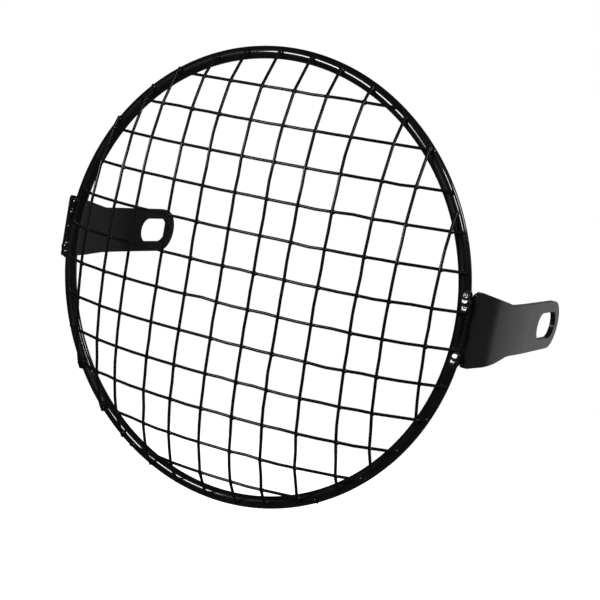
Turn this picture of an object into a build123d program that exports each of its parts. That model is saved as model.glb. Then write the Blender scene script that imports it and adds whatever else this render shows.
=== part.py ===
from build123d import *
from math import atan, cos, degrees, hypot, radians, sin, sqrt, tan
import os

os.makedirs("parts", exist_ok=True)

# Headlight mesh grille: a round steel rod ring, a domed welded wire mesh
# over its front, and two slotted sheet brackets that reach back.
# Frame: origin at the ring's centre, front towards -Y, +Z up, millimetres.

# Ring
RING_OUTER_DIAMETER = 165.0
ROD_DIAMETER = 4.5
ROD_SIDES = 16

# Mesh
WIRE_DIAMETER = 0.9
MESH_PITCH = 12.7
DOME_RISE = 15.5
MESH_SHIFT_X = 3.4
MESH_SHIFT_Z = -1.9
MESH_TURN = 0.7
COLUMN_DRIFT = (0.9, 1.3, -0.9, 0.9, 0.3, 0.8, 0.7, -0.1, -0.2, 0.9, -1.1, -0.7)
ROW_DRIFT = (0.3, -0.4, -0.3, -0.3, -0.2, 0.0, 0.1, 0.4, 0.4, 0.4, 0.3, -0.3)
UPRIGHT_BOW = -0.8
CROSS_BOW = 1.0
TIP_ANGLE = 50.0
WIRE_SIDES = 10

# Brackets
SHEET_THICKNESS = 2.0
TAB_STAND_OUT = 4.5
TAB_HEIGHT = 18.0
TAB_REACH = 81.0
ROOT_ABOVE = 14.4
ROOT_BELOW_LEFT = 9.6
ROOT_BELOW_RIGHT = 12.0
ROOT_FRONT = -0.6
ROOT_STRAIGHT = 16.5
FLARE_LENGTH = 29.0
SHOULDER_RADIUS = 24.0
BELLY_RADIUS = 55.0
BEND_RADIUS = 6.0
CORNER_RADIUS = 1.5
SLOT_WIDTH = 10.0
SLOT_LENGTH = 21.0

# Weld beads between the ring and each bracket
BEAD_DIAMETER = 3.0
BEAD_INSET = 0.7
BEAD_CHAMFER_SHARE = 0.15
BEAD_SIDES = 10
BEAD_SPAN_UPPER = (7.6, 13.6)
BEAD_SPAN_LOWER_LEFT = (-7.8, -3.8)
BEAD_SPAN_LOWER_RIGHT = (-11.6, -7.9)

# Clearances
TOUCH = 0.03
LAYER_CLEARANCE = 0.05

# Values that follow from the sizes above
ROD_RADIUS = ROD_DIAMETER / 2
RING_RADIUS = RING_OUTER_DIAMETER / 2 - ROD_RADIUS
WIRE_RADIUS = WIRE_DIAMETER / 2
RIM_SLOPE = 4 * DOME_RISE / RING_RADIUS
LAST_RUN_SLOPE = RIM_SLOPE * (1 - MESH_PITCH / 2 / RING_RADIUS) ** 3
LAP = ROD_RADIUS + WIRE_RADIUS + TOUCH
TIP_LAP = LAP / cos(radians(TIP_ANGLE) - atan(LAST_RUN_SLOPE))
RIM_HEIGHT = LAP * sqrt(1 + RIM_SLOPE ** 2)
LAYER_STEP = WIRE_DIAMETER + LAYER_CLEARANCE
LINES = int(2 * RING_RADIUS / MESH_PITCH)


def line_places(shift, drift):
    """Offsets of the parallel wires from the ring's centre."""
    first = shift - MESH_PITCH * (LINES - 1) / 2
    return [first + MESH_PITCH * i + drift[i % len(drift)] for i in range(LINES)]


COLUMNS = line_places(MESH_SHIFT_X, COLUMN_DRIFT)
ROWS = line_places(MESH_SHIFT_Z, ROW_DRIFT)
REAR_NODE_LIMIT = RING_RADIUS - ROD_RADIUS
FRONT_NODE_LIMIT = RING_RADIUS + ROD_RADIUS / 2


def dome_height(radius):
    """Distance of the rear wire layer in front of the ring's plane."""
    return RIM_HEIGHT + DOME_RISE * (1 - (radius / RING_RADIUS) ** 4)


def layer_gap(radius):
    """Distance between the two wire layers, measured along Y."""
    steepest = RIM_SLOPE * ((radius + MESH_PITCH / 2) / RING_RADIUS) ** 3
    return LAYER_STEP * sqrt(1 + steepest ** 2)


def crossing(column, row):
    """Where a column and a row cross, seen from the front, with their bows."""
    x = column + UPRIGHT_BOW * (row / RING_RADIUS) ** 2
    z = row + CROSS_BOW * (column / RING_RADIUS) ** 2
    return x, z


def lap_point(offset, bow, lap, end):
    """Where a wire ends, at a distance from the centre of the rod it rests on."""
    across = offset + bow * (1 - (offset / RING_RADIUS) ** 2)
    radius = RING_RADIUS + lap * sin(radians(TIP_ANGLE))
    along = end * sqrt(radius ** 2 - across ** 2)
    return along, across, lap * cos(radians(TIP_ANGLE))


def with_tips(offset, bow, nodes, lower_lap, upper_lap):
    """The nodes between two tips, which rest on the rod."""
    lower = lap_point(offset, bow, lower_lap, -1)
    upper = lap_point(offset, bow, upper_lap, 1)
    return [lower] + nodes + [upper]


def cross_profile(row):
    """Points (along, across, height) of a cross wire, which lies in the rear layer."""
    nodes = []
    for column in COLUMNS:
        along, across = crossing(column, row)
        radius = hypot(along, across)
        if radius < REAR_NODE_LIMIT:
            nodes.append((along, across, dome_height(radius)))
    return with_tips(row, CROSS_BOW, nodes, TIP_LAP, TIP_LAP)


def height_at(profile, place):
    """Height of a bent wire at a place along it, or None beyond its ends."""
    if not profile[0][0] - WIRE_DIAMETER < place < profile[-1][0] + WIRE_DIAMETER:
        return None
    place = min(max(place, profile[0][0]), profile[-1][0])
    for (start, _, low), (end, _, high) in zip(profile, profile[1:]):
        if place <= end:
            return low + (high - low) * (place - start) / (end - start)


def upright_profile(column):
    """Points (along, across, height) of an upright wire, laid on the cross wires."""
    nodes = []
    laps = [TIP_LAP, TIP_LAP]
    for row in ROWS:
        across, along = crossing(column, row)
        below = height_at(cross_profile(row), across)
        radius = hypot(across, along)
        if below is None:
            continue
        if radius < FRONT_NODE_LIMIT:
            nodes.append((along, across, below + layer_gap(radius)))
        else:
            laps[row > 0] += LAYER_STEP
    return with_tips(column, UPRIGHT_BOW, nodes, *laps)


def mitred_sections(points):
    """Outlines of a wire's section at its ends and, cut on the mitre, at each kink."""
    runs = [(b - a).normalized() for a, b in zip(points, points[1:])]
    mitres = [(a + b).normalized() for a, b in zip(runs, runs[1:])] + [runs[-1]]
    start = Plane(origin=points[0], z_dir=runs[0])
    section = start * RegularPolygon(WIRE_RADIUS, WIRE_SIDES)
    corners = [vertex.center() for vertex in section.wire().vertices()]
    outlines = [corners]
    for place, run, mitre in zip(points[1:], runs, mitres):
        corners = [c + run * ((place - c).dot(mitre) / run.dot(mitre)) for c in corners]
        outlines.append(corners)
    return outlines


def wire(points):
    """A wire drawn with flats, which runs straight from kink to kink."""
    outlines = mitred_sections([Vector(*point) for point in points])
    sections = [make_face(Polyline(*corners, close=True)) for corners in outlines]
    body = loft(sections, ruled=True)
    return Rot(0, -MESH_TURN, 0) * body


def upright_wire(column):
    """A wire of the front layer, which runs up the grille."""
    profile = upright_profile(column)
    return wire([(across, -height, along) for along, across, height in profile])


def cross_wire(row):
    """A wire of the rear layer, which runs across the grille."""
    profile = cross_profile(row)
    return wire([(along, -height, across) for along, across, height in profile])


def round_rod(radius, depth, diameter, sides, sweep_angle):
    """A rod drawn with flats, bent round the Y axis from the X axis on."""
    section = Pos(radius, depth) * RegularPolygon(diameter / 2, sides)
    return revolve(section, Axis.Y, sweep_angle)


def ring():
    """The rod ring that everything is welded to."""
    return round_rod(RING_RADIUS, 0, ROD_DIAMETER, ROD_SIDES, 360)


TAB_INSIDE = RING_RADIUS + ROD_RADIUS + TAB_STAND_OUT
FLARE_ANGLE = atan(TAB_STAND_OUT / FLARE_LENGTH)
FLARE_START = RING_RADIUS + (ROD_RADIUS + TOUCH) / cos(FLARE_ANGLE)
BEAD_RADIUS = RING_RADIUS + ROD_RADIUS - BEAD_INSET
BEAD_DEPTH = ROOT_FRONT - BEAD_DIAMETER / 2


def bracket_section():
    """The bent sheet seen from above, its inner face touching the ring."""
    bend = (TAB_INSIDE - FLARE_START) / tan(FLARE_ANGLE)
    front = FLARE_START + ROOT_FRONT * tan(FLARE_ANGLE)
    inner = Polyline((front, ROOT_FRONT), (TAB_INSIDE, bend), (TAB_INSIDE, TAB_REACH))
    inner = fillet(inner.vertices().sort_by(Axis.Y)[1:2], BEND_RADIUS)
    sheet = offset(inner, SHEET_THICKNESS, side=Side.RIGHT)
    return make_face(sheet.edges())


def bracket_outline(below):
    """The sheet's outline seen from the side, in Y and Z, without its slot."""
    half = TAB_HEIGHT / 2
    round_centre = TAB_REACH - half
    root = [(ROOT_FRONT, -below), (ROOT_FRONT, ROOT_ABOVE)]
    upper = [(FLARE_LENGTH, half), (round_centre, half)]
    lower = [(round_centre, -half), (FLARE_LENGTH, -half)]
    belly = (ROOT_STRAIGHT, -below)
    radii = (SHOULDER_RADIUS, BELLY_RADIUS)
    top_edge = FilletPolyline(root[1], *upper, radius=SHOULDER_RADIUS)
    end_round = RadiusArc(upper[1], lower[0], half)
    bottom_edge = FilletPolyline(*lower, belly, root[0], radius=radii)
    face = make_face([top_edge, end_round, bottom_edge, Line(*root)])
    front = face.vertices().sort_by(Axis.X)[:2]
    return fillet(front, CORNER_RADIUS)


def slot():
    """The slot's outline, its rear end round the same centre as the tab's."""
    middle = TAB_REACH - TAB_HEIGHT / 2 - (SLOT_LENGTH - SLOT_WIDTH) / 2
    return Pos(middle, 0) * SlotOverall(SLOT_LENGTH, SLOT_WIDTH)


def bracket(side, below):
    """A bracket: bent sheet cut to its outline and slotted."""
    width = 2 * (ROOT_ABOVE + below)
    sheet = Pos(0, 0, -width / 2) * extrude(bracket_section(), width)
    side_view = Plane(origin=(0, 0, 0), x_dir=(0, 1, 0), z_dir=(1, 0, 0))
    blank = extrude(side_view * (bracket_outline(below) - slot()), RING_OUTER_DIAMETER)
    piece = sheet & blank
    if side < 0:
        piece = mirror(piece, about=Plane.YZ)
    return piece


def cross_wire_ends(side):
    """Heights at which the cross wires end on one side of the ring."""
    turn = radians(MESH_TURN)
    ends = [lap_point(row, CROSS_BOW, TIP_LAP, side) for row in ROWS]
    return [across * cos(turn) + along * sin(turn) for along, across, _ in ends]


def bead_levels(side, span):
    """Heights of a bead's ends, the bead moved inwards past a wire's end in its way."""
    low, high = span
    upper = low > 0
    for level in sorted(cross_wire_ends(side), reverse=upper):
        if low - WIRE_RADIUS < level < high + WIRE_RADIUS:
            move = level - WIRE_RADIUS - high if upper else level + WIRE_RADIUS - low
            low, high = low + move, high + move
    return low, high


def weld_bead(side, span, plate):
    """A bead in the corner between the ring and a bracket's front edge."""
    levels = bead_levels(side, span)
    low, high = (degrees(atan(level / BEAD_RADIUS)) for level in levels)
    bead = round_rod(BEAD_RADIUS, BEAD_DEPTH, BEAD_DIAMETER, BEAD_SIDES, high - low)
    ends = bead.faces().sort_by(Axis.Z)
    rims = ends[0].edges() + ends[-1].edges()
    bead = chamfer(rims, BEAD_DIAMETER * BEAD_CHAMFER_SHARE)
    bead = Rot(0, -high, 0) * bead
    if side < 0:
        bead = mirror(bead, about=Plane.YZ)
    seat = round_rod(RING_RADIUS, 0, ROD_DIAMETER + 2 * TOUCH, ROD_SIDES, 360)
    return bead - seat - plate


BRACKETS = (
    ("left", -1, ROOT_BELOW_LEFT, BEAD_SPAN_LOWER_LEFT),
    ("right", 1, ROOT_BELOW_RIGHT, BEAD_SPAN_LOWER_RIGHT),
)


def pieces():
    """Every piece by its name."""
    made = {"rim_ring": ring()}
    for number, offset_x in enumerate(COLUMNS, 1):
        made[f"upright_wire_{number:02d}"] = upright_wire(offset_x)
    for number, offset_z in enumerate(reversed(ROWS), 1):
        made[f"cross_wire_{number:02d}"] = cross_wire(offset_z)
    for name, side, below, lower_span in BRACKETS:
        plate = bracket(side, below)
        made[f"{name}_bracket"] = plate
        made[f"{name}_upper_weld"] = weld_bead(side, BEAD_SPAN_UPPER, plate)
        made[f"{name}_lower_weld"] = weld_bead(side, lower_span, plate)
    return made


for node, solid in pieces().items():
    export_step(solid, f"parts/{node}.step")
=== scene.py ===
"""Dresses the headlight mesh grille: smooth rods, welds, black enamel, studio light and camera.

Everything is placed from the frame, in metres: -Y is the front, +Z is up.
"""

import logging
import math
import random
from dataclasses import dataclass, field
from enum import Enum

import bmesh
import bpy
from mathutils import Matrix, Vector

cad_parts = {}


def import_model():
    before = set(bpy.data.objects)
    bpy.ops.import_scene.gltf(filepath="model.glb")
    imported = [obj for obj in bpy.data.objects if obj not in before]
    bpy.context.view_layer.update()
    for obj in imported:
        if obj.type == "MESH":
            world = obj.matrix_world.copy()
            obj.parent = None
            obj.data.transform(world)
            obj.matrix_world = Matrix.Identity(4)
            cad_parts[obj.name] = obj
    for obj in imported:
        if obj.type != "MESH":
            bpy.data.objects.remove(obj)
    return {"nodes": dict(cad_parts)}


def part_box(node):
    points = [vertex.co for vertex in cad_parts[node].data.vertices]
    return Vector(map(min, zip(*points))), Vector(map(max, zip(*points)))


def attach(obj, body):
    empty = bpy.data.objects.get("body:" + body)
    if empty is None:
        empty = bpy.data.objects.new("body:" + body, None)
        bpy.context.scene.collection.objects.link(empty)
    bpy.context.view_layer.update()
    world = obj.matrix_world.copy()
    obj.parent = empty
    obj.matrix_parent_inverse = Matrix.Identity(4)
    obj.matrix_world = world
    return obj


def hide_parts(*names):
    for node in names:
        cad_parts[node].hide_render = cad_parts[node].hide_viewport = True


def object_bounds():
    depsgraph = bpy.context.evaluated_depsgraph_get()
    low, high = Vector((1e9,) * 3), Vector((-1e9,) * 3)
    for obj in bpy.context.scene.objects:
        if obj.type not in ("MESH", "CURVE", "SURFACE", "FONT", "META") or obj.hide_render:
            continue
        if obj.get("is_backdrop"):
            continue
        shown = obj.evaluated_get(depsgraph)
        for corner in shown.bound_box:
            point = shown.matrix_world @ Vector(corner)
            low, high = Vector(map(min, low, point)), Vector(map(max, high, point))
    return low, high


log = logging.getLogger("grille")

BODY = "root"
MM = 0.001
FRONT = Vector((0.0, -1.0, 0.0))
BACK = Vector((0.0, 1.0, 0.0))
WHITE = (1.0, 1.0, 1.0, 1.0)

Line = list[Vector]
Colour = tuple[float, float, float, float]
Triple = tuple[float, float, float]


class Axis(Enum):
    """The main direction of a wire, as the number of its coordinate."""

    ACROSS = 0
    UP = 2


class Side(Enum):
    """The two sides of the grille, seen from the front."""

    LEFT = "left"
    RIGHT = "right"

    @property
    def way(self) -> float:
        """Gives the side's direction along X."""
        return -1.0 if self is Side.LEFT else 1.0


class Coat(Enum):
    """The kinds of piece that differ in how the enamel has dried on them."""

    WIRE = "wire"
    ROD = "rod"
    SHEET = "sheet"
    WELD = "weld"


class TreeBuilder:
    """Adds and links the nodes of one node tree."""

    NOISE_MIDDLE = (0.3, 0.7)

    def __init__(self, tree: bpy.types.NodeTree) -> None:
        """Keeps the tree.

        Args:
            tree: the node tree to fill.
        """
        self.tree = tree

    def add(
        self, kind: str, values: dict[str, object] | None = None, **settings: object,
    ) -> bpy.types.Node:
        """Adds a node.

        Args:
            kind: the node's type name.
            values: default values by the names of its inputs.
            settings: properties of the node itself.

        Returns:
            The new node.
        """
        node = self.tree.nodes.new(kind)
        for name, value in settings.items():
            setattr(node, name, value)
        for name, value in (values or {}).items():
            node.inputs[name].default_value = value
        return node

    def link(self, source: bpy.types.NodeSocket, target: bpy.types.NodeSocket) -> None:
        """Links two sockets."""
        self.tree.links.new(source, target)

    def maths(
        self,
        operation: str,
        first: float | bpy.types.NodeSocket,
        second: float | bpy.types.NodeSocket,
    ) -> bpy.types.NodeSocket:
        """Adds a maths node for two numbers.

        Args:
            operation: what the node does with them.
            first: the first number, or a socket that gives it.
            second: the second number, or a socket that gives it.

        Returns:
            The result.
        """
        node = self.add("ShaderNodeMath", operation=operation)
        for number, given in enumerate((first, second)):
            if isinstance(given, bpy.types.NodeSocket):
                self.link(given, node.inputs[number])
            else:
                node.inputs[number].default_value = given
        return node.outputs["Value"]

    def scaled(
        self, vector: bpy.types.NodeSocket, scale: bpy.types.NodeSocket,
    ) -> bpy.types.NodeSocket:
        """Scales a vector.

        Args:
            vector: the socket that gives the vector.
            scale: the socket that gives the scale.

        Returns:
            The scaled vector.
        """
        node = self.add("ShaderNodeVectorMath", operation="SCALE")
        self.link(vector, node.inputs["Vector"])
        self.link(scale, node.inputs["Scale"])
        return node.outputs["Vector"]

    def carried(self, name: str) -> bpy.types.NodeSocket:
        """Reads a vector that each point carries.

        Args:
            name: the vector's name.

        Returns:
            The vector.
        """
        kind = "GeometryNodeInputNamedAttribute"
        return self.add(kind, {"Name": name}, data_type="FLOAT_VECTOR").outputs["Attribute"]

    def noise(
        self, coordinates: bpy.types.NodeSocket, scale: float, detail: float,
    ) -> bpy.types.NodeSocket:
        """Adds a noise texture.

        Args:
            coordinates: the socket that it reads.
            scale: its scale, in features a metre.
            detail: its number of octaves.

        Returns:
            Its factor.
        """
        node = self.add("ShaderNodeTexNoise", {"Scale": scale, "Detail": detail})
        self.link(coordinates, node.inputs["Vector"])
        return node.outputs["Fac"]

    def spread(self, source: bpy.types.NodeSocket, low: float, high: float) -> bpy.types.NodeSocket:
        """Maps the middle of a noise to a range.

        Args:
            source: the noise factor.
            low: the result where the noise is low.
            high: the result where the noise is high.

        Returns:
            The mapped value.
        """
        least, most = self.NOISE_MIDDLE
        node = self.add("ShaderNodeMapRange", {
            "From Min": least, "From Max": most, "To Min": low, "To Max": high,
        })
        self.link(source, node.inputs["Value"])
        return node.outputs["Result"]

    def tone(
        self, share: bpy.types.NodeSocket, first: Colour, second: Colour,
    ) -> bpy.types.NodeSocket:
        """Mixes two colours.

        Args:
            share: the socket that gives the second colour's share.
            first: the first colour.
            second: the second colour.

        Returns:
            The mixed colour.
        """
        node = self.add("ShaderNodeMix", {"A": first, "B": second}, data_type="RGBA")
        self.link(share, node.inputs["Factor"])
        return node.outputs["Result"]


def new_material(name: str) -> tuple[bpy.types.Material, TreeBuilder]:
    """Makes a material with an empty node tree.

    Args:
        name: the material's name.

    Returns:
        The material and the builder of its tree.
    """
    made = bpy.data.materials.new(name)
    made.use_nodes = True
    made.node_tree.nodes.clear()
    return made, TreeBuilder(made.node_tree)


@dataclass(frozen=True)
class Texture:
    """How the enamel has dried on one kind of piece, with its peel's scale in features a metre."""

    gloss: float
    haze: float
    peel_scale: float
    peel_depth: float
    least_rough: float
    most_rough: float


@dataclass(frozen=True)
class BlackEnamel:
    """Stoved black enamel: a dark base under a clear gloss, with a little orange peel."""

    base: Colour = (0.002, 0.002, 0.0022, 1.0)
    faded: Colour = (0.005, 0.0049, 0.0047, 1.0)
    specular_level: float = 0.1
    coat_ior: float = 1.5
    fading_scale: float = 60.0
    fading_detail: float = 4.0
    rough_scale: float = 150.0
    rough_detail: float = 5.0
    peel_detail: float = 2.0

    def texture(self, coat: Coat) -> Texture:
        """Gives the texture of one kind of piece.

        Args:
            coat: the kind of piece.

        Returns:
            Its gloss, orange peel and roughness.
        """
        return {
            Coat.WIRE: Texture(
                gloss=0.3, haze=0.06, peel_scale=300.0, peel_depth=0.003 * MM,
                least_rough=0.30, most_rough=0.45,
            ),
            Coat.ROD: Texture(
                gloss=1.0, haze=0.06, peel_scale=220.0, peel_depth=0.003 * MM,
                least_rough=0.28, most_rough=0.42,
            ),
            Coat.SHEET: Texture(
                gloss=1.0, haze=0.10, peel_scale=160.0, peel_depth=0.006 * MM,
                least_rough=0.32, most_rough=0.46,
            ),
            Coat.WELD: Texture(
                gloss=1.0, haze=0.06, peel_scale=500.0, peel_depth=0.015 * MM,
                least_rough=0.26, most_rough=0.45,
            ),
        }[coat]

    def material(self, coat: Coat) -> bpy.types.Material:
        """Makes the enamel for one kind of piece.

        Args:
            coat: the kind of piece.

        Returns:
            The material.
        """
        texture = self.texture(coat)
        made, build = new_material(f"black_enamel_{coat.value}")
        place = build.add("ShaderNodeTexCoord").outputs["Object"]
        shader = build.add("ShaderNodeBsdfPrincipled", {
            "Specular IOR Level": self.specular_level,
            "Coat Weight": texture.gloss,
            "Coat Roughness": texture.haze,
            "Coat IOR": self.coat_ior,
        })
        fading = build.noise(place, self.fading_scale, self.fading_detail)
        colour = build.tone(build.spread(fading, 0.0, 1.0), self.base, self.faded)
        build.link(colour, shader.inputs["Base Color"])
        patches = build.noise(place, self.rough_scale, self.rough_detail)
        rough = build.spread(patches, texture.least_rough, texture.most_rough)
        build.link(rough, shader.inputs["Roughness"])
        peel = build.add("ShaderNodeBump", {"Strength": 1.0, "Distance": texture.peel_depth})
        height = build.noise(place, texture.peel_scale, self.peel_detail)
        build.link(height, peel.inputs["Height"])
        build.link(peel.outputs["Normal"], shader.inputs["Normal"])
        build.link(peel.outputs["Normal"], shader.inputs["Coat Normal"])
        out = build.add("ShaderNodeOutputMaterial")
        build.link(shader.outputs["BSDF"], out.inputs["Surface"])
        return made


@dataclass(frozen=True)
class PaleFloor:
    """A matt pale floor, white for the camera apart from the shadow, and dim in the gloss."""

    colour: Colour = (0.8, 0.8, 0.8, 1.0)
    mirrored: Colour = (0.06, 0.06, 0.06, 1.0)
    glow: float = 0.97

    def material(self) -> bpy.types.Material:
        """Makes the floor's material.

        Returns:
            The material.
        """
        made, build = new_material("pale_floor")
        path = build.add("ShaderNodeLightPath")
        matt = build.add("ShaderNodeBsdfDiffuse")
        colour = build.tone(path.outputs["Is Glossy Ray"], self.colour, self.mirrored)
        build.link(colour, matt.inputs["Color"])
        glow = build.add("ShaderNodeEmission", {"Color": WHITE})
        seen = build.maths("MULTIPLY", path.outputs["Is Camera Ray"], self.glow)
        build.link(seen, glow.inputs["Strength"])
        both = build.add("ShaderNodeAddShader")
        build.link(matt.outputs["BSDF"], both.inputs[0])
        build.link(glow.outputs["Emission"], both.inputs[1])
        out = build.add("ShaderNodeOutputMaterial")
        build.link(both.outputs["Shader"], out.inputs["Surface"])
        return made


def keep_shape(piece: bpy.types.Object) -> None:
    """Turns what a piece's modifiers make into its plain mesh.

    Args:
        piece: the piece, with its modifiers live.
    """
    evaluated = piece.evaluated_get(bpy.context.evaluated_depsgraph_get())
    mesh = bpy.data.meshes.new_from_object(evaluated)
    piece.modifiers.clear()
    piece.data = mesh


class ShapeTree:
    """A geometry tree with named inputs, which ends in Realize Instances and Set Material."""

    SOCKETS = {
        float: "NodeSocketFloat",
        int: "NodeSocketInt",
        bpy.types.Material: "NodeSocketMaterial",
    }

    def __init__(self, name: str, inputs: dict[str, type]) -> None:
        """Starts the tree.

        Args:
            name: the tree's name.
            inputs: the type of each named input.
        """
        self.tree = bpy.data.node_groups.new(name, "GeometryNodeTree")
        self.build = TreeBuilder(self.tree)
        face = self.tree.interface
        face.new_socket("Geometry", in_out="INPUT", socket_type="NodeSocketGeometry")
        for label, kind in {**inputs, "Material": bpy.types.Material}.items():
            face.new_socket(label, in_out="INPUT", socket_type=self.SOCKETS[kind])
        face.new_socket("Geometry", in_out="OUTPUT", socket_type="NodeSocketGeometry")
        self.given = self.build.add("NodeGroupInput")

    def close(self, shape: bpy.types.NodeSocket) -> None:
        """Ends the tree.

        Args:
            shape: the socket that gives the finished shape.
        """
        smooth = self.build.add("GeometryNodeSetShadeSmooth")
        real = self.build.add("GeometryNodeRealizeInstances")
        dress = self.build.add("GeometryNodeSetMaterial")
        out = self.build.add("NodeGroupOutput")
        self.build.link(shape, smooth.inputs["Geometry"])
        self.build.link(smooth.outputs["Geometry"], real.inputs["Geometry"])
        self.build.link(real.outputs["Geometry"], dress.inputs["Geometry"])
        self.build.link(self.given.outputs["Material"], dress.inputs["Material"])
        self.build.link(dress.outputs["Geometry"], out.inputs["Geometry"])

    def run(self, piece: bpy.types.Object, values: dict[str, object]) -> None:
        """Shapes a piece and keeps the result as its plain mesh.

        Args:
            piece: an object whose mesh holds the points or lines to work on.
            values: a value for each named input.
        """
        modifier = piece.modifiers.new("shape", "NODES")
        modifier.node_group = self.tree
        for item in self.tree.interface.items_tree:
            if item.in_out == "INPUT" and item.name in values:
                modifier[item.identifier] = values[item.name]
        keep_shape(piece)


def tube_tree(doubled: float = 0.02 * MM) -> ShapeTree:
    """Makes the tree that sweeps a round section along bent or closed lines.

    The points of two neighbouring bends can double, which would tear the tube, so a line's
    doubled points are merged before the sweep.

    Args:
        doubled: the gap below which two points of a line become one.

    Returns:
        The tree, with the inputs Radius, Bend Radius, Steps and Sides.
    """
    inputs = {"Radius": float, "Bend Radius": float, "Steps": int, "Sides": int}
    shape = ShapeTree("round_tube", inputs)
    build, given = shape.build, shape.given
    line = build.add("GeometryNodeMeshToCurve")
    build.link(given.outputs["Geometry"], line.inputs["Mesh"])
    bends = build.add("GeometryNodeFilletCurve", {"Limit Radius": True}, mode="POLY")
    build.link(line.outputs["Curve"], bends.inputs["Curve"])
    build.link(given.outputs["Bend Radius"], bends.inputs["Radius"])
    build.link(given.outputs["Steps"], bends.inputs["Count"])
    edges = build.add("GeometryNodeCurveToMesh")
    build.link(bends.outputs["Curve"], edges.inputs["Curve"])
    merged = build.add("GeometryNodeMergeByDistance", {"Distance": doubled})
    build.link(edges.outputs["Mesh"], merged.inputs["Geometry"])
    eased = build.add("GeometryNodeMeshToCurve")
    build.link(merged.outputs["Geometry"], eased.inputs["Mesh"])
    section = build.add("GeometryNodeCurvePrimitiveCircle")
    build.link(given.outputs["Radius"], section.inputs["Radius"])
    build.link(given.outputs["Sides"], section.inputs["Resolution"])
    tube = build.add("GeometryNodeCurveToMesh", {"Fill Caps": True})
    build.link(eased.outputs["Curve"], tube.inputs["Curve"])
    build.link(section.outputs["Curve"], tube.inputs["Profile Curve"])
    shape.close(tube.outputs["Mesh"])
    return shape


def lay_spots(shape: ShapeTree) -> bpy.types.NodeSocket:
    """Sets a ball on each point, turned and sized as the point says.

    Args:
        shape: the tree, with the inputs Fineness, Unevenness and Seed.

    Returns:
        The balls, made real.
    """
    build, given = shape.build, shape.given
    ball = build.add("GeometryNodeMeshIcoSphere", {"Radius": 1.0})
    build.link(given.outputs["Fineness"], ball.inputs["Subdivisions"])
    lay = build.add("FunctionNodeAlignRotationToVector", axis="X")
    build.link(build.carried("weld_along"), lay.inputs["Vector"])
    turn = build.add("FunctionNodeAlignRotationToVector", axis="Y", pivot_axis="X")
    build.link(lay.outputs["Rotation"], turn.inputs["Rotation"])
    build.link(build.carried("weld_face"), turn.inputs["Vector"])
    least = build.maths("SUBTRACT", 1.0, given.outputs["Unevenness"])
    most = build.maths("ADD", 1.0, given.outputs["Unevenness"])
    chance = build.add("FunctionNodeRandomValue", data_type="FLOAT")
    build.link(least, chance.inputs["Min"])
    build.link(most, chance.inputs["Max"])
    build.link(given.outputs["Seed"], chance.inputs["Seed"])
    scale = build.scaled(build.carried("weld_size"), chance.outputs["Value"])
    spots = build.add("GeometryNodeInstanceOnPoints")
    build.link(given.outputs["Geometry"], spots.inputs["Points"])
    build.link(ball.outputs["Mesh"], spots.inputs["Instance"])
    build.link(turn.outputs["Rotation"], spots.inputs["Rotation"])
    build.link(scale, spots.inputs["Scale"])
    real = build.add("GeometryNodeRealizeInstances")
    build.link(spots.outputs["Instances"], real.inputs["Geometry"])
    return real.outputs["Geometry"]


def push_lumps(shape: ShapeTree, spots: bpy.types.NodeSocket) -> bpy.types.NodeSocket:
    """Pushes the spots' surface in and out.

    Args:
        shape: the tree, with the inputs Lumps and Lump Scale.
        spots: the socket that gives the spots.

    Returns:
        The lumpy spots.
    """
    build, given = shape.build, shape.given
    lump = build.add("ShaderNodeTexNoise", {"Detail": 1.0})
    build.link(given.outputs["Lump Scale"], lump.inputs["Scale"])
    centred = build.maths("SUBTRACT", lump.outputs["Fac"], 0.5)
    deep = build.maths("MULTIPLY", centred, given.outputs["Lumps"])
    outward = build.add("GeometryNodeInputNormal").outputs["Normal"]
    moved = build.add("GeometryNodeSetPosition")
    build.link(spots, moved.inputs["Geometry"])
    build.link(build.scaled(outward, deep), moved.inputs["Offset"])
    return moved.outputs["Geometry"]


def spot_tree() -> ShapeTree:
    """Makes the tree that sets a lumpy weld spot on each point.

    Each point carries three vectors: weld_along and weld_face, the ways that its spot lies and that
    its flat side looks, and weld_size, its half sizes along, through the flat side and across.

    Returns:
        The tree, with the inputs Fineness, Unevenness, Lumps, Lump Scale and Seed.
    """
    shape = ShapeTree("weld_spots", {
        "Fineness": int, "Unevenness": float, "Lumps": float, "Lump Scale": float, "Seed": int,
    })
    shape.close(push_lumps(shape, lay_spots(shape)))
    return shape


@dataclass(frozen=True)
class Spot:
    """One lump of weld metal, with its half sizes along, through its flat side and across."""

    middle: Vector
    along: Vector
    face: Vector
    size: Triple


@dataclass(frozen=True)
class WeldMetal:
    """How a kind of weld is made: its mesh's fineness, its spots' unevenness and their lumps."""

    fineness: int
    unevenness: float
    lumps: float
    lump_scale: float


def stray(chance: random.Random, spread: float) -> Vector:
    """Draws a small random step, with the spread of each of its coordinates."""
    return Vector([chance.gauss(0.0, spread) for _ in "xyz"])


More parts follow.
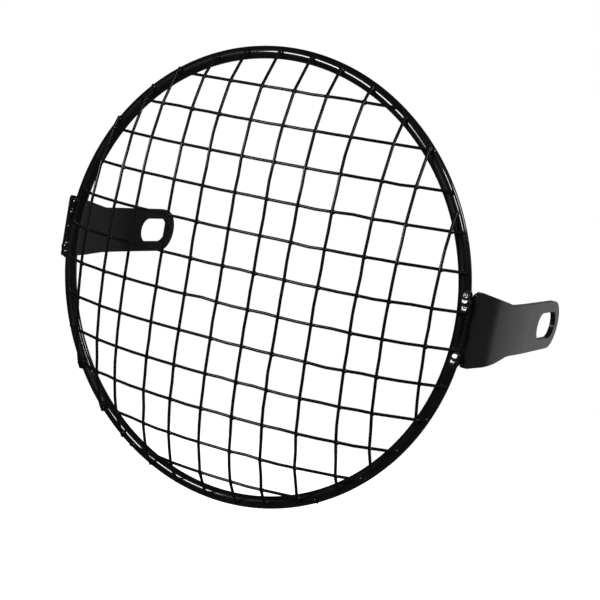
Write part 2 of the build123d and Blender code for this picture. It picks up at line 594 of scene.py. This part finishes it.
@dataclass(frozen=True)
class Workshop:
    """What every sub-assembly needs: the frame's nodes and box, the finishes and the trees."""

    nodes: dict[str, bpy.types.Object]
    enamel: dict[Coat, bpy.types.Material]
    tube: ShapeTree
    spots: ShapeTree
    low: Vector
    high: Vector

    def piece(self, name: str, mesh: bpy.types.Mesh) -> bpy.types.Object:
        """Makes an object of a mesh and puts it in the scene.

        Args:
            name: the object's name.
            mesh: its mesh.

        Returns:
            The object.
        """
        made = bpy.data.objects.new(name, mesh)
        bpy.context.scene.collection.objects.link(made)
        return made

    def lines(self, name: str, lines: list[Line], closed: bool = False) -> bpy.types.Object:
        """Makes a piece of lines for a tree to work on.

        Args:
            name: the piece's name.
            lines: the points of each line.
            closed: whether each line's end joins its start.

        Returns:
            The piece, with points and edges only.
        """
        points: Line = []
        edges: list[tuple[int, int]] = []
        for line in lines:
            first = len(points)
            points += line
            edges += [(first + i, first + i + 1) for i in range(len(line) - 1)]
            if closed:
                edges.append((len(points) - 1, first))
        mesh = bpy.data.meshes.new(name)
        mesh.from_pydata([tuple(p) for p in points], edges, [])
        return self.piece(name, mesh)

    def weld(self, name: str, spots: list[Spot], metal: WeldMetal, seed: int) -> bpy.types.Object:
        """Makes one piece of several weld spots.

        Args:
            name: the piece's name.
            spots: the lumps.
            metal: how the weld is made.
            seed: the seed of the spots' unevenness.

        Returns:
            The piece.
        """
        piece = self.lines(name, [[spot.middle] for spot in spots])
        for label, vectors in (
            ("weld_along", [spot.along for spot in spots]),
            ("weld_face", [spot.face for spot in spots]),
            ("weld_size", [spot.size for spot in spots]),
        ):
            attribute = piece.data.attributes.new(label, "FLOAT_VECTOR", "POINT")
            attribute.data.foreach_set("vector", [c for vector in vectors for c in vector])
        self.spots.run(piece, {
            "Fineness": metal.fineness,
            "Unevenness": metal.unevenness,
            "Lumps": metal.lumps,
            "Lump Scale": metal.lump_scale,
            "Seed": seed,
            "Material": self.enamel[Coat.WELD],
        })
        return piece

    def finish(self, piece: bpy.types.Object, *replaced: str) -> None:
        """Args:
            piece: the finished piece.
            replaced: the frame's nodes that it stands for.
        """
        for vertex in piece.data.vertices:
            vertex.co = [
                min(max(place, least), most)
                for place, least, most in zip(vertex.co, self.low, self.high)
            ]
        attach(piece, BODY)
        if replaced:
            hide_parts(*replaced)
        log.info("%s: %d faces", piece.name, len(piece.data.polygons))


@dataclass
class RodRing:
    """The round rod ring that carries the mesh."""

    steps: int = 360
    sides: int = 64

    def make(self, shop: Workshop) -> tuple[float, float]:
        """Makes the ring.

        Args:
            shop: the frame's nodes, the finishes and the trees.

        Returns:
            The radius of the rod's centre line and of the rod.
        """
        low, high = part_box("rim_ring")
        rod = (high.y - low.y) / 2
        radius = (high.x - low.x) / 2 - rod
        turns = [2 * math.pi * i / self.steps for i in range(self.steps)]
        circle = [Vector((radius * math.cos(t), 0.0, radius * math.sin(t))) for t in turns]
        piece = shop.lines("ring_rod", [circle], closed=True)
        shop.tube.run(piece, {
            "Radius": rod,
            "Bend Radius": 0.0,
            "Steps": 1,
            "Sides": self.sides,
            "Material": shop.enamel[Coat.ROD],
        })
        shop.finish(piece, "rim_ring")
        return radius, rod


@dataclass
class WireMesh:
    """The domed mesh: two layers of bent wires, welded where they cross and at the ring."""

    ring_radius: float
    section_gap: float = 0.6 * MM
    enamel_film: float = 0.09 * MM
    bend_radius: float = 3.0 * MM
    bend_steps: int = 4
    sides: int = 14
    slack: float = 0.13 * MM
    trim_left: float = 3.2 * MM
    trim_right: float = 0.3 * MM
    trim_upright: float = 1.9 * MM
    crossing_passes: int = 4
    crossing_reach: float = 1.0 * MM
    nugget_size: Triple = (1.02 * MM, 0.78 * MM, 0.82 * MM)
    nugget_metal: WeldMetal = WeldMetal(
        fineness=2, unevenness=0.15, lumps=0.2 * MM, lump_scale=900.0,
    )
    tack_size: Triple = (1.25 * MM, 0.65 * MM, 0.85 * MM)
    tack_metal: WeldMetal = WeldMetal(
        fineness=3, unevenness=0.22, lumps=0.6 * MM, lump_scale=800.0,
    )
    tack_depth: float = 0.6 * MM
    tack_back: float = 0.7 * MM
    tack_face: Triple = (0.0, -1.0, 0.3)
    tack_tilt: float = 0.3
    seed: int = 7
    uprights: list[Line] = field(default_factory=list)
    crosses: list[Line] = field(default_factory=list)

    def centre_line(self, node: bpy.types.Object, axis: Axis) -> Line:
        """Reads a wire's kinks from its solid.

        Args:
            node: the frame's node.
            axis: the wire's main direction.

        Returns:
            The middle of each section, from one tip to the other.
        """
        way = axis.value
        points = sorted({tuple(v.co) for v in node.data.vertices}, key=lambda p: p[way])
        groups = [[points[0]]]
        for point in points[1:]:
            if point[way] - groups[-1][-1][way] > self.section_gap:
                groups.append([])
            groups[-1].append(point)
        return [sum((Vector(p) for p in group), Vector()) / len(group) for group in groups]

    def wire_radius(self, node: bpy.types.Object, line: Line) -> float:
        """Gives a wire's radius, from the furthest point of its end face.

        Args:
            node: the frame's node.
            line: the wire's kinks.

        Returns:
            The radius of the solid wire, without its enamel.
        """
        reaches = [(vertex.co - line[0]).length for vertex in node.data.vertices]
        return max(reach for reach in reaches if reach < self.section_gap)

    def hand_bent(self, line: Line, axis: Axis, chance: random.Random) -> Line:
        """Trims a wire's tips and lets each run between two crossings sag a little.

        Args:
            line: the wire's kinks.
            axis: the wire's main direction.
            chance: the source of chance.

        Returns:
            The wire's line with a point in the middle of each inner run.
        """
        first = self.trim_left if axis is Axis.ACROSS else self.trim_upright
        last = self.trim_right if axis is Axis.ACROSS else self.trim_upright
        trimmed = list(line)
        trimmed[0] = line[0] + (line[1] - line[0]).normalized() * first
        trimmed[-1] = line[-1] + (line[-2] - line[-1]).normalized() * last
        bent = [trimmed[0]]
        for start, end in zip(trimmed[1:-1], trimmed[2:-1]):
            aside = BACK.cross(end - start).normalized()
            bent += [start, (start + end) / 2 + aside * chance.gauss(0.0, self.slack)]
        return bent + trimmed[-2:]

    def make_wires(self, shop: Workshop) -> None:
        """Makes each wire as a smooth round one.

        Args:
            shop: the frame's nodes, the finishes and the trees.
        """
        chance = random.Random(self.seed)
        layers = (
            ("upright_wire", Axis.UP, self.uprights),
            ("cross_wire", Axis.ACROSS, self.crosses),
        )
        for kind, axis, kept in layers:
            for name in sorted(n for n in shop.nodes if n.startswith(kind)):
                node = shop.nodes[name]
                kinks = self.centre_line(node, axis)
                line = self.hand_bent(kinks, axis, chance)
                kept.append(line)
                piece = shop.lines(f"round_{name}", [line])
                shop.tube.run(piece, {
                    "Radius": self.wire_radius(node, kinks) + self.enamel_film,
                    "Bend Radius": self.bend_radius,
                    "Steps": self.bend_steps,
                    "Sides": self.sides,
                    "Material": shop.enamel[Coat.WIRE],
                })
                shop.finish(piece, name)

    def place(self, line: Line, axis: Axis, value: float) -> Vector | None:
        """Finds the point of a line at a place along its main direction.

        Args:
            line: the wire's line.
            axis: the wire's main direction.
            value: the place.

        Returns:
            The point, or None beyond the wire's ends.
        """
        way = axis.value
        for start, end in zip(line, line[1:]):
            if start[way] <= value <= end[way]:
                return start.lerp(end, (value - start[way]) / (end[way] - start[way]))
        return None

    def crossings(self) -> list[Spot]:
        """Finds where the wires cross.

        Returns:
            A weld spot for each crossing.
        """
        found = []
        for upright in self.uprights:
            for cross in self.crosses:
                level = cross[len(cross) // 2].z
                over = under = None
                for _ in range(self.crossing_passes):
                    over = self.place(upright, Axis.UP, level)
                    under = self.place(cross, Axis.ACROSS, over.x) if over else None
                    if under is None:
                        break
                    level = under.z
                if over and under:
                    left, right = over.x - self.crossing_reach, over.x + self.crossing_reach
                    ahead = self.place(cross, Axis.ACROSS, right) or cross[-1]
                    behind = self.place(cross, Axis.ACROSS, left) or cross[0]
                    along = (ahead - behind).normalized()
                    face = (over - under).normalized()
                    found.append(Spot((over + under) / 2, along, face, self.nugget_size))
        return found

    def tips(self) -> list[Spot]:
        """Finds where the wires' ends are welded to the ring.

        Returns:
            A weld spot for each end, its flat side tilted at random.
        """
        chance = random.Random(self.seed)
        found = []
        for line in self.uprights + self.crosses:
            for tip, inner in ((line[0], line[1]), (line[-1], line[-2])):
                along = (tip - inner).normalized()
                outward = Vector((tip.x, 0.0, tip.z)).normalized()
                inward = (outward * self.ring_radius - tip).normalized()
                face = (Vector(self.tack_face) + stray(chance, self.tack_tilt)).normalized()
                middle = tip + inward * self.tack_depth - along * self.tack_back
                found.append(Spot(middle, along, face, self.tack_size))
        return found

    def make(self, shop: Workshop) -> None:
        """Makes the wires and their welds.

        Args:
            shop: the frame's nodes, the finishes and the trees.
        """
        self.make_wires(shop)
        for name, spots, metal in (
            ("crossing_welds", self.crossings(), self.nugget_metal),
            ("wire_end_welds", self.tips(), self.tack_metal),
        ):
            shop.finish(shop.weld(name, spots, metal, self.seed))


@dataclass
class Bracket:
    """A slotted sheet bracket with rounded edges, and the welds that hold it to the ring."""

    side: Side
    edge_radius: float = 0.3 * MM
    edge_steps: int = 2
    edge_angle: float = math.radians(35)
    face_weight: int = 100
    merge_gap: float = 0.001 * MM
    flat_angle: float = math.radians(0.5)
    cut_gap: float = 1e-7
    front_depth: float = 0.1 * MM
    bend_place: float = 29.0 * MM
    bend_reach: float = 18.0 * MM
    bend_cuts: int = 16
    corner_cut: tuple[float, float] = (3.4 * MM, 1.3 * MM)
    lump_step: float = 1.0 * MM
    least_lumps: int = 2
    lump_size: Triple = (1.35 * MM, 0.85 * MM, 1.25 * MM)
    lump_face: Triple = (-0.085, -0.97, 0.232)
    lump_tilt: float = 0.025
    lump_stray: float = 0.14 * MM
    cap_size: Triple = (1.50 * MM, 0.18 * MM, 1.35 * MM)
    cap_lift: float = 0.76 * MM
    bead_metal: WeldMetal = WeldMetal(
        fineness=4, unevenness=0.22, lumps=0.07 * MM, lump_scale=500.0,
    )
    seam_step: float = 2.0 * MM
    seam_size: Triple = (2.8 * MM, 0.8 * MM, 1.0 * MM)
    seam_stray: float = 0.06 * MM
    seam_forward: float = 0.5
    seam_metal: WeldMetal = WeldMetal(
        fineness=3, unevenness=0.08, lumps=0.2 * MM, lump_scale=400.0,
    )
    seed: int = 3

    def inner_line(self, y: float, root: float, tab: float, slope: float) -> tuple[float, float]:
        """Gives the eased sheet's inner face at a depth.

        Args:
            y: the depth.
            root: where the straight inner face would be at depth zero.
            tab: where the inner face of the tab is.
            slope: the root's slope.

        Returns:
            Its distance from the middle, and its slope.
        """
        start = self.bend_place - self.bend_reach
        share = min(max((y - start) / (2 * self.bend_reach), 0.0), 1.0)
        if share >= 1.0:
            return tab, 0.0
        bent = slope * self.bend_reach * share ** 2
        return root + slope * y - bent, slope * (1.0 - share)

    def cut(
        self, form: bmesh.types.BMesh, place: Vector, outward: Vector, clear: bool = False,
    ) -> None:
        """Cuts a mesh along a plane.

        Args:
            form: the mesh.
            place: a point of the plane.
            outward: the direction that the plane faces.
            clear: whether what lies on that side of it goes.
        """
        bmesh.ops.bisect_plane(
            form,
            geom=form.verts[:] + form.edges[:] + form.faces[:],
            plane_co=place,
            plane_no=outward,
            dist=self.cut_gap,
            clear_outer=clear,
        )

    def ease_bend(self, form: bmesh.types.BMesh) -> None:
        """Turns the sheet's one tight bend into a long gentle one.

        Args:
            form: the sheet's mesh, merged.
        """
        front = min(v.co.y for v in form.verts)
        nose = front + self.front_depth
        beyond = self.bend_place + self.bend_reach
        inner_front = min(abs(v.co.x) for v in form.verts if v.co.y < nose)
        tab = min(abs(v.co.x) for v in form.verts if v.co.y > beyond)
        thickness = max(abs(v.co.x) for v in form.verts) - tab
        slope = (tab - inner_front) / (self.bend_place - front)
        root = tab - slope * self.bend_place
        for number in range(self.bend_cuts + 1):
            level = self.bend_place + self.bend_reach * (2 * number / self.bend_cuts - 1)
            self.cut(form, Vector((0.0, level, 0.0)), BACK)
        for vertex in form.verts:
            sharp = min(root + slope * vertex.co.y, tab)
            inner, lean = self.inner_line(vertex.co.y, root, tab, slope)
            outer = abs(vertex.co.x) - sharp > thickness / 2
            reach = inner + (thickness * math.sqrt(1 + lean ** 2) if outer else 0.0)
            vertex.co.x = math.copysign(reach, vertex.co.x)

    def cut_corner(self, form: bmesh.types.BMesh) -> None:
        """Cuts the upper front corner off along a slant.

        Args:
            form: the sheet's mesh, merged.
        """
        deep, high = self.corner_cut
        front, top = min(v.co.y for v in form.verts), max(v.co.z for v in form.verts)
        outward = Vector((0.0, -high, deep)).normalized()
        self.cut(form, Vector((0.0, front, top - high)), outward, clear=True)
        bmesh.ops.holes_fill(form, edges=[e for e in form.edges if e.is_boundary], sides=0)
        bmesh.ops.recalc_face_normals(form, faces=form.faces)

    def shape_sheet(self, mesh: bpy.types.Mesh) -> None:
        """Cuts and bends a copy of the sheet's solid.

        Args:
            mesh: the copy's mesh, of loose triangles.
        """
        form = bmesh.new()
        form.from_mesh(mesh)
        bmesh.ops.remove_doubles(form, verts=form.verts, dist=self.merge_gap)
        bmesh.ops.dissolve_limit(
            form, angle_limit=self.flat_angle, verts=form.verts, edges=form.edges,
        )
        if self.side is Side.RIGHT:
            self.cut_corner(form)
        self.ease_bend(form)
        for face in form.faces:
            face.smooth = True
            face.material_index = 0
        form.to_mesh(mesh)
        form.free()

    def make_sheet(self, shop: Workshop) -> None:
        """Makes the sheet with its cut edges eased.

        Args:
            shop: the frame's nodes, the finishes and the trees.
        """
        name = f"{self.side.value}_bracket"
        mesh = shop.nodes[name].data.copy()
        mesh.materials.clear()
        mesh.materials.append(shop.enamel[Coat.SHEET])
        self.shape_sheet(mesh)
        piece = shop.piece(f"{self.side.value}_sheet", mesh)
        bevel = piece.modifiers.new("eased_edges", "BEVEL")
        bevel.width = self.edge_radius
        bevel.segments = self.edge_steps
        bevel.limit_method = "ANGLE"
        bevel.angle_limit = self.edge_angle
        even = piece.modifiers.new("even_faces", "WEIGHTED_NORMAL")
        even.weight = self.face_weight
        keep_shape(piece)
        shop.finish(piece, name)

    def around_ring(self, height: float, reach: float) -> tuple[Vector, Vector]:
        """Gives the directions at a place beside the ring, on the bracket's side.

        Args:
            height: the place's height above the ring's middle.
            reach: its distance from the ring's middle.

        Returns:
            The direction away from the ring's middle, and the one along the rod.
        """
        turn = math.asin(height / reach)
        outward = Vector((self.side.way * math.cos(turn), 0.0, math.sin(turn)))
        return outward, Vector((-outward.z, 0.0, outward.x)) * self.side.way

    def bead_lumps(self, low: Vector, high: Vector, chance: random.Random) -> list[Spot]:
        """Lays overlapping lumps along a bead, on the right each under a flatter cap.

        Args:
            low: the bead's lowest corner.
            high: the bead's highest corner.
            chance: the source of chance.

        Returns:
            The lumps and their caps.
        """
        middle = (low + high) / 2
        reach = math.hypot(middle.x, middle.z)
        count = max(round((high.z - low.z) / self.lump_step), self.least_lumps)
        found = []
        for number in range(count):
            share = (number + 0.5) / count
            outward, along = self.around_ring(low.z + (high.z - low.z) * share, reach)
            centre = outward * reach + BACK * middle.y + stray(chance, self.lump_stray)
            face = (Vector(self.lump_face) + stray(chance, self.lump_tilt)).normalized()
            found.append(Spot(centre, along, face, self.lump_size))
            if self.side is Side.RIGHT:
                level = (along - face * along.dot(face)).normalized()
                found.append(Spot(centre + face * self.cap_lift, level, face, self.cap_size))
        return found

    def make_bead(self, shop: Workshop, level: str) -> None:
        """Makes an uneven weld bead where the frame has a plain one.

        Args:
            shop: the frame's nodes, the finishes and the trees.
            level: upper or lower.
        """
        name = f"{self.side.value}_{level}_weld"
        low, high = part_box(name)
        lumps = self.bead_lumps(low, high, random.Random(f"{name}{self.seed}"))
        shop.finish(shop.weld(f"{name}_bead", lumps, self.bead_metal, self.seed), name)

    def make_seam(self, shop: Workshop, ring_radius: float, rod_radius: float) -> None:
        """Fills the groove between the rod and the sheet, as the weld does.

        Args:
            shop: the frame's nodes, the finishes and the trees.
            ring_radius: the radius of the rod's centre line.
            rod_radius: the radius of the rod.
        """
        low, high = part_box(f"{self.side.value}_bracket")
        chance = random.Random(f"{self.side.value}{self.seed}")
        reach = ring_radius + rod_radius
        forward = FRONT * (self.seam_forward * rod_radius)
        start, end = low.z + self.seam_size[0], high.z - self.seam_size[0]
        count = round((end - start) / self.seam_step)
        spots = []
        for number in range(count + 1):
            height = start + (end - start) * number / count
            outward, along = self.around_ring(height, reach)
            centre = outward * reach + forward + stray(chance, self.seam_stray)
            spots.append(Spot(centre, along, (outward + FRONT).normalized(), self.seam_size))
        name = f"{self.side.value}_seam_weld"
        shop.finish(shop.weld(name, spots, self.seam_metal, self.seed))

    def make(self, shop: Workshop, ring_radius: float, rod_radius: float) -> None:
        """Makes the sheet, its seam and its beads.

        Args:
            shop: the frame's nodes, the finishes and the trees.
            ring_radius: the radius of the rod's centre line.
            rod_radius: the radius of the rod.
        """
        self.make_sheet(shop)
        self.make_seam(shop, ring_radius, rod_radius)
        for level in ("upper", "lower"):
            self.make_bead(shop, level)


@dataclass(frozen=True)
class Softbox:
    """A flat lamp at a place, facing the object's middle or, square on, the front."""

    name: str
    place: Triple
    wide: float
    tall: float
    radiance: float
    square_on: bool = False

    def make(self) -> None:
        """Puts the lamp in the scene, out of the camera's sight."""
        data = bpy.data.lights.new(self.name, "AREA")
        data.shape = "RECTANGLE"
        data.size = self.wide
        data.size_y = self.tall
        data.energy = self.radiance * math.pi * self.wide * self.tall
        lamp = bpy.data.objects.new(self.name, data)
        lamp.location = self.place
        towards = FRONT if self.square_on else -Vector(self.place)
        lamp.rotation_euler = towards.to_track_quat("-Z", "Y").to_euler()
        lamp.visible_camera = False
        bpy.context.scene.collection.objects.link(lamp)


@dataclass(frozen=True)
class Studio:
    """A pale floor, a room that is white for the camera, softboxes, and the camera."""

    floor_level: float = -0.45
    floor_radius: float = 1.6
    floor_sides: int = 96
    room: float = 0.008
    backdrop: float = 0.10
    backdrop_edge: tuple[float, float] = (0.80, 0.87)
    soft_light: float = 0.4
    lamps: tuple[Softbox, ...] = (
        Softbox("key_softbox", (-0.127, -0.35, 0.12), wide=0.15, tall=0.085, radiance=26.0),
        Softbox("side_strip", (0.876, -0.39, 0.722), wide=0.13, tall=0.46, radiance=26.0),
        Softbox("back_strip", (0.822, 0.62, 0.618), wide=0.16, tall=0.30, radiance=14.0),
        Softbox(
            "rear_panel", (0.171, 0.25, -0.03), wide=0.145, tall=0.14, radiance=0.25,
            square_on=True,
        ),
    )
    camera_azimuth: float = math.radians(26.39)
    camera_elevation: float = math.radians(7.92)
    camera_roll: float = math.radians(10.47)
    camera_place: Triple = (0.0166, -0.0076, 0.5012)
    camera_lens: float = 84.2
    camera_near: float = 0.01

    def make_floor(self) -> None:
        """Makes the round floor, which isn't part of the object."""
        form = bmesh.new()
        bmesh.ops.create_circle(
            form,
            cap_ends=True,
            segments=self.floor_sides,
            radius=self.floor_radius,
            matrix=Matrix.Translation((0.0, 0.0, self.floor_level)),
        )
        mesh = bpy.data.meshes.new("floor")
        form.to_mesh(mesh)
        form.free()
        mesh.materials.append(PaleFloor().material())
        floor = bpy.data.objects.new("floor", mesh)
        bpy.context.scene.collection.objects.link(floor)
        floor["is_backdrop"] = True

    def make_world(self) -> None:
        """Makes the room: soft light on matt surfaces, white for the camera, dim in the gloss."""
        world = bpy.data.worlds.new("studio_room")
        bpy.context.scene.world = world
        world.use_nodes = True
        world.node_tree.nodes.clear()
        build = TreeBuilder(world.node_tree)
        way = build.add("ShaderNodeTexCoord").outputs["Generated"]
        split = build.add("ShaderNodeSeparateXYZ")
        build.link(way, split.inputs["Vector"])
        near, far = self.backdrop_edge
        behind = build.add("ShaderNodeMapRange", {
            "From Min": near, "From Max": far, "To Min": self.room, "To Max": self.backdrop,
        }, interpolation_type="SMOOTHSTEP")
        build.link(split.outputs["Y"], behind.inputs["Value"])
        path = build.add("ShaderNodeLightPath")
        gloss = build.add("ShaderNodeMix", {"A": self.soft_light}, data_type="FLOAT")
        build.link(path.outputs["Is Glossy Ray"], gloss.inputs["Factor"])
        build.link(behind.outputs["Result"], gloss.inputs["B"])
        level = build.add("ShaderNodeMix", {"B": 1.0}, data_type="FLOAT")
        build.link(path.outputs["Is Camera Ray"], level.inputs["Factor"])
        build.link(gloss.outputs["Result"], level.inputs["A"])
        glow = build.add("ShaderNodeBackground", {"Color": WHITE})
        build.link(level.outputs["Result"], glow.inputs["Strength"])
        out = build.add("ShaderNodeOutputWorld")
        build.link(glow.outputs["Background"], out.inputs["Surface"])

    def make_camera(self) -> None:
        """Makes the camera at the photograph's viewing angle."""
        turn, lift, roll = self.camera_azimuth, self.camera_elevation, self.camera_roll
        level_right = Vector((math.cos(turn), math.sin(turn), 0.0))
        back = Vector((
            math.sin(turn) * math.cos(lift), -math.cos(turn) * math.cos(lift), math.sin(lift),
        ))
        level_up = back.cross(level_right)
        right = level_right * math.cos(roll) + level_up * math.sin(roll)
        up = level_up * math.cos(roll) - level_right * math.sin(roll)
        data = bpy.data.cameras.new("photo_camera")
        data.lens = self.camera_lens
        data.clip_start = self.camera_near
        camera = bpy.data.objects.new("photo_camera", data)
        axes = Matrix((right, up, back)).transposed()
        place = axes @ Vector(self.camera_place)
        camera.matrix_world = Matrix.Translation(place) @ axes.to_4x4()
        bpy.context.scene.collection.objects.link(camera)
        bpy.context.scene.camera = camera

    def make(self) -> None:
        """Makes the floor, the room, the lamps and the camera."""
        self.make_floor()
        self.make_world()
        for lamp in self.lamps:
            lamp.make()
        self.make_camera()
        bpy.context.scene.view_settings.view_transform = "Standard"


def main() -> None:
    """Builds the grille and its studio."""
    logging.basicConfig(level=logging.INFO, format="%(name)s: %(message)s")
    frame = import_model()
    low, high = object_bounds()
    enamel = BlackEnamel()
    shop = Workshop(
        nodes=frame["nodes"],
        enamel={coat: enamel.material(coat) for coat in Coat},
        tube=tube_tree(),
        spots=spot_tree(),
        low=low,
        high=high,
    )
    ring_radius, rod_radius = RodRing().make(shop)
    WireMesh(ring_radius).make(shop)
    for side in Side:
        Bracket(side).make(shop, ring_radius, rod_radius)
    Studio().make()


if __name__ == "__main__":
    main()
